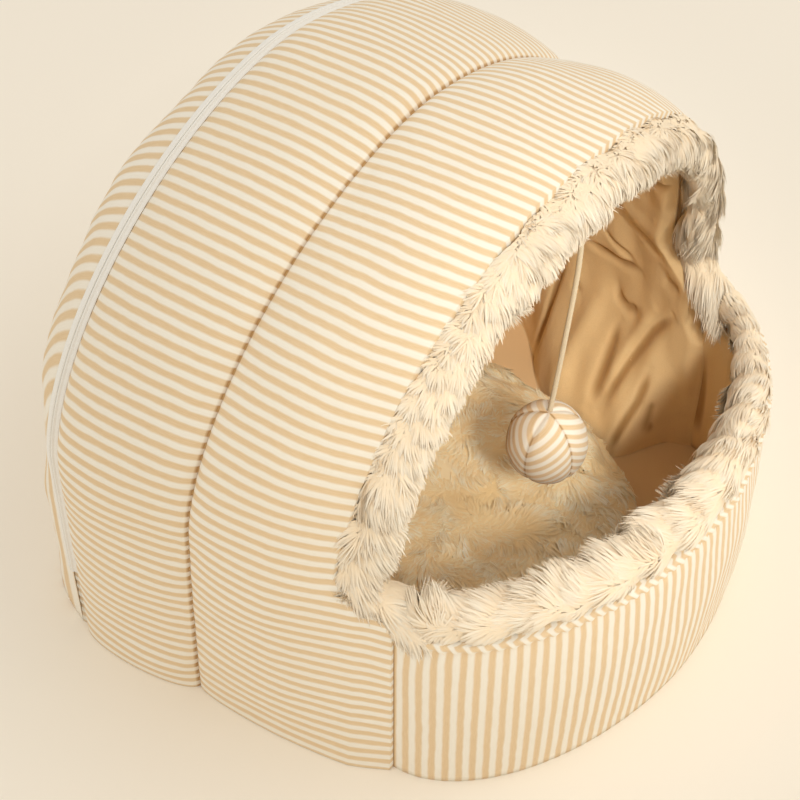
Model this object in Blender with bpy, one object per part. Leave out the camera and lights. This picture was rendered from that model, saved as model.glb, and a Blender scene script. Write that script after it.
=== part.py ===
"""Arched cat house: padded roof, domed back, low front lip, plush trim, cushion and a hanging ball.

Metres, +Z up. The mouth faces -Y, and the house stands on Z = 0.
"""
import math
import bmesh
import bpy
from mathutils import Vector

# Driving dimensions
COLLECTION = "cat_house"
ORIGIN_Y = -0.04298         # depth of the origin, under the middle of the house
GAP = 0.0003                # between neighbouring pieces
WALL = 0.013                # padded wall at its seams
LINING = 0.0015             # lining cloth
LINING_SHY = 0.0025         # the roof's lining ends this far behind the front rim
LEG_SHARE = 0.17            # share of the arch's run that is one side wall
TANGENT_STEP = 0.01         # share of the run over which the arch's slope is read

# Roof panel, from the rear rim to the front rim. Depth y of each row, then the arch there.
# columns: y, half-width at the shoulder, half-width at the foot, height, height of the
# shoulder, where the side walls turn into the bow, and the bow's power, 2 being an ellipse
ROOF_ROWS = (
    (0.087, 0.200, 0.198, 0.326, 0.151, 1.785),
    (-0.001, 0.192, 0.188, 0.329, 0.151, 1.785),
    (-0.060, 0.182, 0.179, 0.332, 0.138, 2.02),
    (-0.105, 0.166, 0.171, 0.333, 0.122, 2.36),
    (-0.126, 0.160, 0.161, 0.333, 0.116, 2.45),
)
REAR_LEAN = 0.016           # the zip's plane leans forward by this much of its height
SEAM_LEAN = 0.052           # and so does the seam between the two channels
RIM_Y = -0.094              # front rim just above the lip
RIM_LEAN = 0.12             # it leans forward by this much of its height over RIM_FOOT_Z
RIM_FOOT_Z = 0.17
CORNER_Y = -0.1256          # front rim below the lip's top, where the lip is sewn on
CORNER_BLEND = 0.024        # height over which the one passes into the other
FRONT_ROW_Y = -0.112        # where the front rim's height is read off the arch
REAR_PUFF = 0.011           # rise of the rear channel's padding over its seams
FRONT_PUFF = 0.008
RIM_PUFF = 0.45             # share of the front channel's rise that is left at the trim
CHANNEL_ROWS = 5
ARCH_STEPS = 52
CORNER_STEPS = (9.33, 9.66)  # more steps where the front rim turns onto the lip

# Zip round the rear arch: two closed tapes over the joint of roof and back
ZIP_TAPE = 0.0045
ZIP_THICK = 0.0012
ZIP_LEDGE = 0.0051          # flat strip of the roof that the front tape lies on
ZIP_DROP = 0.25             # the rear tape falls by this much of its width, with the dome
ZIP_FREE_STEPS = 3          # steps of the arch left free at each foot

# Domed back panel
BACK_RISE = 0.050
BACK_POWERS = (2.8, 6.0)    # fullness of the dome towards its sides and towards its top
BACK_ROUND = (4.8, 2.3)     # how fast it rises from its edge, at the floor and higher up
BACK_ROUND_TOP = 0.65       # share of the height from which the second holds
BACK_TURN = 0.28            # share of the arch that each side of the dome's grid takes
BACK_COLUMNS = 16
BACK_ROWS = 8

# Front lip
LIP_HALF = 0.1614
LIP_REACH = 0.0926
LIP_POWER = 1.847
LIP_HEIGHT = 0.135
LIP_PUFF = 0.005
LIP_STEPS = 30
LIP_ROWS = 5
LINING_DROP = 0.010         # the lip's lining ends this far below its top

# Loose lining: it stands in from the right wall's foot, between the wall and the cushion
SAG = 0.047
SAG_TOP = 0.12              # height at which it leaves the wall
SAG_REAR = (0.030, 0.070)   # depth at which it starts, and the run over which it grows
SAG_FRONT = (-0.1235, 0.030)

# Floor and cushion
BASE_THICK = 0.008
BASE_SHY = 0.0009           # the floor's edge stays this far inside the walls, which lean in
CUSHION_LEFT = 0.142        # reach from the middle to the left, to the right and in depth
CUSHION_RIGHT = 0.112
CUSHION_DEEP = 0.130
CUSHION_Y = -0.038
CUSHION_THICK = 0.052
CUSHION_POWER = 2.3
CUSHION_CROWN = 0.8         # under 1 gives a flatter top and steeper sides
CUSHION_SEAT = 1.25         # over 1 gives a flat underside to rest on
CUSHION_BLEND = 0.5         # share of the height over which the dimple fades out
DIMPLE = (0.004, -0.069)
DIMPLE_RADIUS = 0.045
DIMPLE_DEPTH = 0.010

# Plush trim
LOCK_LENGTH = 0.008
LOCK_SPREAD = 0.35          # how uneven the locks are
LOCK_TURN = 2.3
# share of the trim's size that each lump adds, and its turn from section to section, rad
ARCH_LUMPS = ((0.07, 1.9), (0.05, 0.83))
LIP_LUMPS = ((0.07, 2.1), (0.05, 0.9))
LIP_TRIM_STEPS = 44
LIP_TRIM_END = 0.36         # angle left to the arch trim at each end of the lip, rad
# columns: out from the panel's face, ahead of its rim; the named row carries the locks
ARCH_SECTION = (
    (0.002, 0.000), (0.004, 0.006), (0.003, 0.014), (-0.002, 0.020), (-0.010, 0.022),
    (-0.017, 0.019), (-0.021, 0.013), (-0.019, 0.006), (-0.0127, 0.000),
)
ARCH_LOCK_ROW = 6
# columns: out from the lip's face, up from its top
LIP_SECTION = (
    (0.000, 0.000), (0.004, 0.008), (0.003, 0.018), (-0.005, 0.024), (-0.016, 0.024),
    (-0.025, 0.016), (-0.027, 0.006), (-0.024, -0.002), (-0.0152, -0.004), (-0.0152, 0.000),
)
LIP_LOCK_ROW = 6

# Ball on its cord
BALL_CENTRE = (0.000, -0.1102, 0.1289)
BALL_RADII = (0.0240, 0.0240, 0.0262)
CORD_RADIUS = 0.0015
CORD_ROUTE = (
    (0.0004, -0.1104, 0.1556), (0.0026, -0.1116, 0.1800), (0.0050, -0.1130, 0.2100),
    (0.0074, -0.1142, 0.2400), (0.0094, -0.1147, 0.2650), (0.0104, -0.1141, 0.2850),
    (0.0104, -0.1114, 0.3050), (0.0101, -0.1087, 0.3172),
)
CORD_POINTS = 20


def material(name, colour, roughness):
    """A plain cloth material."""
    made = bpy.data.materials.new(name)
    made.use_nodes = True
    shader = made.node_tree.nodes["Principled BSDF"]
    shader.inputs["Base Color"].default_value = (*colour, 1)
    shader.inputs["Roughness"].default_value = roughness
    shader.inputs["Metallic"].default_value = 0
    return made


def add_object(name, mesh, finish):
    """Put a mesh into the house's collection."""
    mesh.materials.append(finish)
    mesh.shade_smooth()
    mesh.set_sharp_from_angle(angle=math.radians(40))
    made = bpy.data.objects.new(name, mesh)
    bpy.data.collections[COLLECTION].objects.link(made)
    return made


def slab(name, outer, inner, finish):
    """Close two grids of points, the outer and the inner face of a panel, into one solid."""
    rows, columns = len(outer), len(outer[0])
    made = bmesh.new()
    top = [[made.verts.new(point) for point in row] for row in outer]
    under = [[made.verts.new(point) for point in row] for row in inner]
    for i in range(rows - 1):
        for j in range(columns - 1):
            made.faces.new((top[i][j], top[i][j + 1], top[i + 1][j + 1], top[i + 1][j]))
            made.faces.new((under[i][j], under[i + 1][j], under[i + 1][j + 1], under[i][j + 1]))
    rim = [(0, j) for j in range(columns)] + [(i, columns - 1) for i in range(1, rows)]
    rim += [(rows - 1, j) for j in reversed(range(columns - 1))]
    rim += [(i, 0) for i in reversed(range(1, rows - 1))]
    for a, b in zip(rim, rim[1:] + rim[:1]):
        made.faces.new((top[b[0]][b[1]], top[a[0]][a[1]], under[a[0]][a[1]], under[b[0]][b[1]]))
    bmesh.ops.recalc_face_normals(made, faces=made.faces)
    mesh = bpy.data.meshes.new(name)
    made.to_mesh(mesh)
    made.free()
    return add_object(name, mesh, finish)


def sweep(name, sections, finish):
    """Close a run of section loops, each of as many points, into one solid."""
    made = bmesh.new()
    loops = [[made.verts.new(point) for point in section] for section in sections]
    count = len(loops[0])
    for near, far in zip(loops, loops[1:]):
        for j in range(count):
            k = (j + 1) % count
            made.faces.new((near[j], near[k], far[k], far[j]))
    made.faces.new(loops[0])
    made.faces.new(list(reversed(loops[-1])))
    bmesh.ops.triangulate(made, faces=[face for face in made.faces if len(face.verts) > 4])
    bmesh.ops.recalc_face_normals(made, faces=made.faces)
    mesh = bpy.data.meshes.new(name)
    made.to_mesh(mesh)
    made.free()
    return add_object(name, mesh, finish)


def steps(count, low=0.0, high=1.0):
    """Even steps from low to high, both ends included."""
    return [low + (high - low) * i / count for i in range(count + 1)]


def arch_run():
    """Steps along the arch from foot to foot, closer at the corners of the mouth."""
    extra = [step / ARCH_STEPS for step in CORNER_STEPS]
    return sorted(steps(ARCH_STEPS) + extra + [1 - u for u in extra])


def eased(count):
    """Steps from 0 to 1 that crowd towards both ends."""
    return [(1 - math.cos(math.pi * i / count)) / 2 for i in range(count + 1)]


def smooth_step(x):
    """Pass from 0 to 1 without a corner."""
    x = min(max(x, 0.0), 1.0)
    return x * x * (3 - 2 * x)


def roof_row(y):
    """The roof's columns at depth y, on a smooth curve through the rows."""
    rows = ROOF_ROWS
    if y >= rows[0][0]:
        return rows[0][1:]
    if y <= rows[-1][0]:
        return rows[-1][1:]
    k = next(i for i in range(len(rows) - 1) if rows[i][0] >= y >= rows[i + 1][0])
    x = (rows[k][0] - y) / (rows[k][0] - rows[k + 1][0])
    values = []
    for column in range(1, len(rows[0])):
        p1, p2 = rows[k][column], rows[k + 1][column]
        p0 = rows[k - 1][column] if k > 0 else 2 * p1 - p2
        p3 = rows[k + 2][column] if k + 2 < len(rows) else 2 * p2 - p1
        blend = 2 * p1 + (p2 - p0) * x + (2 * p0 - 5 * p1 + 4 * p2 - p3) * x ** 2
        values.append((blend + (3 * p1 - p0 - 3 * p2 + p3) * x ** 3) / 2)
    return values


def arch(u, y, offset=0.0, low=0.0):
    """Point of the roof's seam line: u runs from the left foot, at height low, over the top
    to the right foot, and offset moves the point out."""
    half, foot, height, shoulder, power = roof_row(y)

    def bare(v):
        side = -1 if v < 0.5 else 1
        leg = min(v, 1 - v) / LEG_SHARE
        if leg < 1:
            z = low + (shoulder - low) * leg
            return Vector((side * (foot + (half - foot) * math.sin(z / shoulder * math.pi / 2)), z))
        angle = math.pi * (v - LEG_SHARE) / (1 - 2 * LEG_SHARE)
        across = math.copysign(abs(math.cos(angle)) ** (2 / power), math.cos(angle))
        rise = math.sin(angle) ** (2 / power)
        return Vector((-half * across, shoulder + (height - shoulder) * rise))

    point = bare(u)
    tangent = bare(min(u + TANGENT_STEP, 1)) - bare(max(u - TANGENT_STEP, 0))
    normal = Vector((-tangent.y, tangent.x)).normalized()
    point += normal * offset
    if u in (0, 1):
        point.y = low
    return Vector((point.x, y, max(point.y, low)))


def arch_height(u):
    """Height of the arch at u, for the planes that lean with it."""
    return arch(u, ROOF_ROWS[1][0]).z


def rear_y(z):
    """Depth of the joint between roof and back at height z."""
    return ROOF_ROWS[0][0] - REAR_LEAN * z


def seam_y(z):
    """Depth of the seam between the two channels at height z."""
    return ROOF_ROWS[1][0] - SEAM_LEAN * z


def front_y(u):
    """Depth of the roof's front rim at u."""
    z = arch(u, FRONT_ROW_Y).z
    share = smooth_step((z - LIP_HEIGHT) / CORNER_BLEND)
    rim = RIM_Y - RIM_LEAN * max(z - RIM_FOOT_Z, 0)
    return CORNER_Y + (rim - CORNER_Y) * share


def roof_lines(u):
    """Depth and padding rise of each row of the roof panel at u, from the rear to the front."""
    z = arch_height(u)
    rear, seam, front = rear_y(z) - GAP / 2, seam_y(z), front_y(u) + GAP / 2
    ledge = rear - ZIP_LEDGE
    lines = [(rear, 0.0)]
    for s in eased(CHANNEL_ROWS):
        lines.append((ledge + (seam - ledge) * s, REAR_PUFF * math.sqrt(4 * s * (1 - s))))
    for s in eased(CHANNEL_ROWS)[1:]:
        rise = math.sqrt(4 * s * (1 - s)) if s < 0.5 else 1 - (1 - RIM_PUFF) * (2 * s - 1) ** 2
        lines.append((seam + (front - seam) * s, FRONT_PUFF * rise))
    return lines


def roof_panel(finish):
    """Roof and side walls in one piece, with two padded channels."""
    outer, inner = [], []
    for u in arch_run():
        lines = roof_lines(u)
        outer.append([arch(u, y, rise) for y, rise in lines])
        inner.append([arch(u, y, -WALL) for y, rise in lines])
    slab("roof_panel", outer, inner, finish)


def patch(edge, a, b):
    """Point inside the arch that edge(u) draws: a runs from -1 to 1 across, b from 0 to 1 up."""
    turn = BACK_TURN
    low = edge(0) * (1 - a) / 2 + edge(1) * (1 + a) / 2
    high = edge(turn + (1 - 2 * turn) * (a + 1) / 2)
    left = edge(turn * b)
    right = edge(1 - turn * b)
    sides = left * (1 - a) / 2 + right * (1 + a) / 2
    corners = low * (1 - b) + (edge(turn) * (1 - a) / 2 + edge(1 - turn) * (1 + a) / 2) * b
    return low * (1 - b) + high * b + sides - corners


def dome(inset, shift):
    """Grid of points of the back's dome, inset from its outer face."""
    across = [math.sin(x * math.pi / 2) for x in steps(BACK_COLUMNS, -1, 1)]
    up = [math.sin(x * math.pi / 2) for x in steps(BACK_ROWS)]
    grid = []
    for b in up:
        row = []
        for a in across:
            point = patch(lambda u: arch(u, rear_y(arch_height(u)), -inset), a, b)
            fullness = max((1 - abs(a) ** BACK_POWERS[0]) * (1 - b ** BACK_POWERS[1]), 0)
            turn = BACK_ROUND[0] + (BACK_ROUND[1] - BACK_ROUND[0]) * min(b / BACK_ROUND_TOP, 1)
            rise = (BACK_RISE - inset) * (1 - (1 - fullness) ** turn)
            point.y = rear_y(point.z) + shift + rise
            row.append(point)
        grid.append(row)
    return grid


def back_panel(finish):
    """Domed back of the house."""
    slab("back_panel", dome(0.0, GAP / 2), dome(WALL, GAP / 2), finish)


def zip_tape(name, near, far, finish):
    """One tape of the closed zip, lying over the joint between the roof and the back."""
    outer, inner = [], []
    for u in arch_run()[ZIP_FREE_STEPS:-ZIP_FREE_STEPS]:
        y = rear_y(arch_height(u))
        lifts = [(d, GAP - ZIP_DROP * max(d, 0)) for d in (near, far)]
        outer.append([arch(u, y + d, lift + ZIP_THICK) for d, lift in lifts])
        inner.append([arch(u, y + d, lift) for d, lift in lifts])
    slab(name, outer, inner, finish)


def lip_plan(angle, inset):
    """Point of the front lip in plan, from the left corner round to the right one."""
    across = math.copysign(abs(math.cos(angle)) ** (2 / LIP_POWER), math.cos(angle))
    ahead = abs(math.sin(angle)) ** (2 / LIP_POWER)
    y = CORNER_Y - GAP / 2 - (LIP_REACH - inset) * ahead
    return Vector((-(LIP_HALF - inset) * across, y, 0))


def lip_face(inset, puff, low, high):
    """Grid of points of one face of the lip."""
    grid = []
    for angle in steps(LIP_STEPS, 0, math.pi):
        row = []
        for s in steps(LIP_ROWS):
            point = lip_plan(angle, inset - puff * math.sin(math.pi * s) * math.sin(angle))
            point.z = low + (high - low) * s
            row.append(point)
        grid.append(row)
    return grid


def front_lip(finish):
    """Low padded wall round the mouth's foot."""
    outer = lip_face(0.0, LIP_PUFF, 0, LIP_HEIGHT)
    inner = lip_face(WALL, 0.0, 0, LIP_HEIGHT)
    slab("front_lip", outer, inner, finish)


def sag(point, u):
    """How far the loose lining stands in at a point of the wall."""
    if u < 0.5:
        return 0.0
    rear = smooth_step((SAG_REAR[0] - point.y) / SAG_REAR[1])
    front = smooth_step((point.y - SAG_FRONT[0]) / SAG_FRONT[1])
    return SAG * rear * front * smooth_step(1 - point.z / SAG_TOP)


def linings(finish):
    """Smooth lining of the roof, the back and the lip, from the floor up."""
    faces = (WALL + GAP, WALL + GAP + LINING)
    floor = BASE_THICK + GAP
    grids = []
    for inset in faces:
        grid = []
        for u in arch_run():
            depths = [max(y, front_y(u) + LINING_SHY) for y, rise in roof_lines(u)]
            walls = [arch(u, y, -inset, floor) for y in depths]
            grid.append([arch(u, p.y, -inset - sag(p, u), floor) for p in walls])
        grids.append(grid)
    slab("lining_roof", grids[0], grids[1], finish)
    back = []
    for inset in faces:
        grid = dome(inset, GAP / 2)
        for near, far in zip(grid[0], grid[1]):
            near[:] = near.lerp(far, (floor - near.z) / (far.z - near.z))
        back.append(grid)
    slab("lining_back", back[0], back[1], finish)
    lip = [lip_face(inset, 0.0, floor, LIP_HEIGHT - LINING_DROP) for inset in faces]
    slab("lining_lip", lip[0], lip[1], finish)


def floor_outline():
    """Outline inside the walls' feet, counter-clockwise from the back's right corner."""
    inset = WALL + BASE_SHY
    rear = dome(inset, GAP / 2)[0]
    sides = [y for y, rise in roof_lines(0)]
    right = [arch(1, y, -inset) for y in sides]
    left = [arch(0, y, -inset) for y in reversed(sides)]
    lip = [lip_plan(angle, inset) for angle in steps(LIP_STEPS, 0, math.pi)][1:-1]
    return [Vector((p.x, p.y, 0)) for p in left + rear[1:-1] + right + lip[::-1]]


def base_panel(finish):
    """Flat floor inside the walls, which the house stands on with them."""
    made = bmesh.new()
    outline = [made.verts.new(point) for point in floor_outline()]
    face = made.faces.new(outline)
    raised = bmesh.ops.extrude_face_region(made, geom=[face])
    for item in raised["geom"]:
        if isinstance(item, bmesh.types.BMVert):
            item.co.z = BASE_THICK
    bmesh.ops.triangulate(made, faces=made.faces)
    bmesh.ops.recalc_face_normals(made, faces=made.faces)
    mesh = bpy.data.meshes.new("base_panel")
    made.to_mesh(mesh)
    made.free()
    add_object("base_panel", mesh, finish)


def cushion(finish):
    """Loose plush cushion: crowned, drawn in at its rim and dented where the cat lies."""
    made = bmesh.new()
    bmesh.ops.create_uvsphere(made, u_segments=32, v_segments=14, radius=1)
    for vert in made.verts:
        x, y, z = vert.co
        ring = max(math.hypot(x, y), 1e-9)
        wide = (1 - abs(z) ** CUSHION_POWER) ** (1 / CUSHION_POWER)
        height = math.copysign(abs(z) ** CUSHION_CROWN, z)
        px = (CUSHION_LEFT if x < 0 else CUSHION_RIGHT) * wide * x / ring
        py = CUSHION_Y + CUSHION_DEEP * wide * y / ring
        half = CUSHION_THICK / 2
        pz = BASE_THICK + GAP + half * (1 + height)
        if z > 0:
            away = math.hypot(px - DIMPLE[0], py - DIMPLE[1]) / DIMPLE_RADIUS
            pz -= DIMPLE_DEPTH * math.exp(-away ** 2) * min(z / CUSHION_BLEND, 1)
        else:
            pz = BASE_THICK + GAP + half * (1 + max(height * CUSHION_SEAT, -1))
        vert.co = (px, py, pz)
    mesh = bpy.data.meshes.new("cushion")
    made.to_mesh(mesh)
    made.free()
    add_object("cushion", mesh, finish)


def lump(i, lumps):
    """Size of the trim at section i, beside its mean size of 1."""
    return 1 + sum(share * math.sin(i * turn) for share, turn in lumps)


def lock(i):
    """Reach of the lock at section i; every other section has one."""
    return LOCK_LENGTH * (1 + LOCK_SPREAD * math.sin(i * LOCK_TURN)) if i % 2 else 0.0


def arch_trim(finish):
    """Plush roll round the mouth's arch, with locks along its inner edge."""
    foot = LIP_HEIGHT + GAP
    run = arch_run()
    first = next(k for k, u in enumerate(run) if arch(u, front_y(u)).z > foot) - 1
    sections = []
    for i, u in enumerate(run[first:len(run) - first]):
        y = front_y(u)
        size = lump(i, ARCH_LUMPS)
        section = []
        for j, (out, ahead) in enumerate(ARCH_SECTION):
            if 0 < j <= ARCH_LOCK_ROW:
                out, ahead = out * size, ahead * (2 - size)
            if j == ARCH_LOCK_ROW:
                out -= lock(i)
            point = arch(u, y, out)
            point.y = y - GAP / 2 - ahead
            section.append(point)
        sections.append(section)
    for end, near in ((0, 1), (-1, -2)):
        low, high = sections[end][0].z, sections[near][0].z
        share = (foot - low) / (high - low)
        sections[end] = [p + (q - p) * share for p, q in zip(sections[end], sections[near])]
        for point in sections[end]:
            point.z = foot
    sweep("arch_trim", sections, finish)


def lip_trim(finish):
    """Plush roll along the lip's top, with locks hanging into the house."""
    sections = []
    angles = steps(LIP_TRIM_STEPS, LIP_TRIM_END, math.pi - LIP_TRIM_END)
    for i, angle in enumerate(angles):
        section = []
        for j, (out, up) in enumerate(LIP_SECTION):
            if 0 < j < LIP_LOCK_ROW:
                up *= lump(i, LIP_LUMPS)
            if j == LIP_LOCK_ROW:
                out -= lock(i)
            point = lip_plan(angle, -out)
            point.z = LIP_HEIGHT + GAP + up
            section.append(point)
        sections.append(section)
    sweep("lip_trim", sections, finish)


def ball(finish):
    """Stuffed cloth ball, a little taller than wide."""
    made = bmesh.new()
    bmesh.ops.create_uvsphere(made, u_segments=20, v_segments=12, radius=1)
    for vert in made.verts:
        vert.co = Vector([c + r * v for c, r, v in zip(BALL_CENTRE, BALL_RADII, vert.co)])
    mesh = bpy.data.meshes.new("ball")
    made.to_mesh(mesh)
    made.free()
    add_object("ball", mesh, finish)


def smooth_route(points, count):
    """Even run of points on a smooth curve through the route's own points."""
    ends = [Vector(p) for p in points]
    ends = [2 * ends[0] - ends[1]] + ends + [2 * ends[-1] - ends[-2]]
    spans = len(points) - 1
    route = []
    for s in steps(count - 1, 0, spans):
        k = min(int(s), spans - 1)
        x = s - k
        p0, p1, p2, p3 = ends[k:k + 4]
        blend = 2 * p1 + (p2 - p0) * x + (2 * p0 - 5 * p1 + 4 * p2 - p3) * x ** 2
        route.append((blend + (3 * p1 - p0 - 3 * p2 + p3) * x ** 3) / 2)
    return route


def ball_cord(finish):
    """Cord from the roof's front to the top of the ball."""
    route = smooth_route(CORD_ROUTE, CORD_POINTS)
    curve = bpy.data.curves.new("ball_cord", "CURVE")
    curve.dimensions = "3D"
    curve.bevel_depth = CORD_RADIUS
    curve.bevel_resolution = 2
    curve.use_fill_caps = True
    spline = curve.splines.new("POLY")
    spline.points.add(len(route) - 1)
    for spot, point in zip(spline.points, route):
        spot.co = (*point, 1)
    curve.materials.append(finish)
    made = bpy.data.objects.new("ball_cord", curve)
    bpy.data.collections[COLLECTION].objects.link(made)


def build():
    """Empty the file and build the house."""
    for old in list(bpy.data.objects):
        bpy.data.objects.remove(old, do_unlink=True)
    bpy.context.scene.collection.children.link(bpy.data.collections.new(COLLECTION))
    ticking = material("ticking", (0.93, 0.83, 0.64), 0.9)
    plush = material("plush", (0.93, 0.87, 0.74), 1.0)
    cushion_plush = material("cushion_plush", (0.80, 0.66, 0.42), 1.0)
    lining = material("lining", (0.68, 0.47, 0.25), 0.8)
    tape = material("zip_tape", (0.86, 0.84, 0.79), 0.7)
    cord_cloth = material("cord", (0.85, 0.77, 0.60), 0.8)
    roof_panel(ticking)
    back_panel(ticking)
    front_lip(ticking)
    base_panel(ticking)
    linings(lining)
    zip_tape("zip_tape_front", -ZIP_TAPE - GAP / 2, -GAP / 2, tape)
    zip_tape("zip_tape_rear", GAP / 2, ZIP_TAPE + GAP / 2, tape)
    arch_trim(plush)
    lip_trim(plush)
    cushion(cushion_plush)
    ball(ticking)
    ball_cord(cord_cloth)
    for piece in bpy.data.collections[COLLECTION].objects:
        piece.location.y = -ORIGIN_Y


build()
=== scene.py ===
"""Looks of the cat house: striped padded shell, loose lining, plush trim, cushion, ball and cord.

Shapes are worked out in the source's own coordinates, and moved by SHIFT_Y into the row's frame.
"""
import math

import bpy
import numpy as np
from mathutils import Matrix, Vector
from mathutils.kdtree import KDTree


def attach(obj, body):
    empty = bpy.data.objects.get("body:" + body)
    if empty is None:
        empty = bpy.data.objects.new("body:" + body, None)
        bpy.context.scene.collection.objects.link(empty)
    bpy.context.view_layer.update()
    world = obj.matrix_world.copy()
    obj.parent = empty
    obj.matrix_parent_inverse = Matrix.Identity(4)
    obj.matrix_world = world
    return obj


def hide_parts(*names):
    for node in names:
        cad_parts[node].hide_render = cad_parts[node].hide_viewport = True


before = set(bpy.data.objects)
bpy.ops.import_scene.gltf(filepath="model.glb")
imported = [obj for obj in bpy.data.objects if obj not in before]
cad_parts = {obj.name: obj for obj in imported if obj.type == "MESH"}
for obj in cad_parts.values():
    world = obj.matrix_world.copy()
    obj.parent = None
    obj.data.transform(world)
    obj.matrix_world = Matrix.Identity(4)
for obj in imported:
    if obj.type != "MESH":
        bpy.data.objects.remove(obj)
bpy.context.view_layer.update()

# Sizes that the source has too
SHIFT_Y = 0.04298
GAP = 0.0003
WALL = 0.013
LINING = 0.0015
LINING_SHY = 0.0025
LEG_SHARE = 0.17
TANGENT_STEP = 0.01
# columns: y, half-width at the shoulder, half-width at the foot, height, shoulder height, power
ROOF_ROWS = np.array((
    (0.087, 0.2, 0.198, 0.326, 0.151, 1.785),
    (-0.001, 0.192, 0.188, 0.329, 0.151, 1.785),
    (-0.06, 0.182, 0.179, 0.332, 0.138, 2.02),
    (-0.105, 0.166, 0.171, 0.333, 0.122, 2.36),
    (-0.126, 0.16, 0.161, 0.333, 0.116, 2.45),
))
SEAM_ROW_Y = -0.001
REAR_LEAN = 0.016
SEAM_LEAN = 0.052
RIM_Y = -0.094
RIM_LEAN = 0.12
RIM_FOOT_Z = 0.17
CORNER_Y = -0.1256
CORNER_BLEND = 0.024
FRONT_ROW_Y = -0.112
REAR_PUFF = 0.011
FRONT_PUFF = 0.008
RIM_PUFF = 0.45
ZIP_TAPE = 0.0045
ZIP_THICK = 0.0012
ZIP_LEDGE = 0.0051
ZIP_DROP = 0.25
ZIP_FREE = 3 / 52
BACK_RISE = 0.05
BACK_POWERS = (2.8, 6.0)
BACK_ROUND = (4.8, 2.3)
BACK_ROUND_TOP = 0.65
PATCH_TURN = 0.28
LIP_HALF = 0.1614
LIP_REACH = 0.0926
LIP_POWER = 1.847
LIP_HEIGHT = 0.135
LIP_PUFF = 0.005
LINING_DROP = 0.01
SAG = 0.047
SAG_TOP = 0.12
SAG_REAR = (0.03, 0.07)
SAG_FRONT = (-0.1235, 0.03)
BASE_THICK = 0.008
CUSHION_LEFT = 0.142
CUSHION_RIGHT = 0.112
CUSHION_DEEP = 0.13
CUSHION_Y = -0.038
CUSHION_THICK = 0.052
CUSHION_POWER = 2.3
CUSHION_CROWN = 0.8
CUSHION_SEAT = 1.25
CUSHION_BLEND = 0.5
DIMPLE = (0.004, -0.069)
DIMPLE_RADIUS = 0.045
DIMPLE_DEPTH = 0.01
LIP_TRIM_END = 0.36
ARCH_SECTION = np.array((
    (0.002, 0.0), (0.004, 0.006), (0.003, 0.014), (-0.002, 0.02), (-0.01, 0.022),
    (-0.017, 0.019), (-0.021, 0.013), (-0.019, 0.006), (-0.0127, 0.0),
))
LIP_SECTION = np.array((
    (0.0, 0.0), (0.004, 0.008), (0.003, 0.018), (-0.005, 0.024), (-0.016, 0.024),
    (-0.025, 0.016), (-0.027, 0.006), (-0.024, -0.002), (-0.0152, -0.004), (-0.0152, 0.0),
))
BALL_CENTRE = np.array((0.0, -0.1102, 0.1289))
BALL_RADII = np.array((0.024, 0.024, 0.0262))
CORD_RADIUS = 0.0015
CORD_ROUTE = np.array((
    (0.0004, -0.1104, 0.1556), (0.0026, -0.1116, 0.18), (0.005, -0.113, 0.21),
    (0.0074, -0.1142, 0.24), (0.0094, -0.1147, 0.265), (0.0104, -0.1141, 0.285),
    (0.0104, -0.1114, 0.305), (0.0101, -0.1087, 0.3172),
))

# Looks. A pitch is the width of a tan and a cream stripe together, and where it varies, it is
# given at some distances along the cloth.
ROOF_PITCH = ((0.0, 0.12, 0.25, 0.37, 0.5, 0.62, 0.87),
              (0.0081, 0.0081, 0.0073, 0.0068, 0.0065, 0.007, 0.0073))
LIP_PITCH = ((0.0, 0.12, 0.25, 0.37), (0.008, 0.0072, 0.0067, 0.0067))
BACK_PITCH = 0.00735
BALL_PITCH = 0.0052
RIB = 0.00022               # height of the cloth's ribs, one to each stripe
FLOOR_Z = BASE_THICK + GAP
DOME_MIDDLE = (0, 0, 0.12)
TUCK = 0.0005               # the hidden face of a lining lies this far inside the wall
RUN_LENGTH = 0.87           # of the roof's lining from foot to foot, which turns u into metres
FUR_SCALE = 0.84            # share of the arch's roll that is core, the rest being pile
LIP_FUR_END = 0.13          # angle from each corner at which the lip's pile starts
ARCH_STRANDS, LIP_STRANDS, CUSHION_STRANDS = 18600, 15200, 11800
ROUND = 0.12                # how much a strand's own roundness shows beside the body's
SEAM_ANGLE = math.radians(38.5)     # of the ball's first seam
DOWN = np.array((0, 0, -1.0))

# Camera, lamps and the cushion's cloth simulation. Angles are in degrees.
AZIMUTH, ELEVATION, ROLL = -51.97, 47.69, 0.3
CAMERA_TARGET = Vector((0.0038, SHIFT_Y, 0.0859))
CAMERA_DISTANCE = 1.2301
LAMP_TARGET = (0, 0, 0.15)
SKY, KEY_WATTS, BACK_WATTS, SPOT_WATTS = 0.72, 14.0, 5.0, 104.0
PAD_VOXEL = 0.005
PAD_STEPS = 20
PAD_PRESSURE = 2.5
PAD_CAP = 0.006             # a point moves this far at most


def make_camera():
    """Camera at the photograph's viewing angle."""
    azimuth, elevation = math.radians(AZIMUTH), math.radians(ELEVATION)
    back = Vector((math.sin(azimuth) * math.cos(elevation),
                   -math.cos(azimuth) * math.cos(elevation), math.sin(elevation)))
    right = (-back).cross(Vector((0, 0, 1))).normalized()
    up = right.cross(-back)
    placed = Matrix((right, up, back)).transposed().to_4x4()
    placed.translation = CAMERA_TARGET + back * CAMERA_DISTANCE
    camera = bpy.data.cameras.new("camera")
    camera.lens = 90
    camera.sensor_width = 36
    camera.clip_start = 0.01
    made = bpy.data.objects.new("camera", camera)
    bpy.context.scene.collection.objects.link(made)
    made.matrix_world = placed @ Matrix.Rotation(math.radians(ROLL), 4, "Z")
    bpy.context.scene.camera = made
    bpy.context.scene.view_settings.view_transform = "Standard"


make_camera()


# Shape helpers

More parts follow.
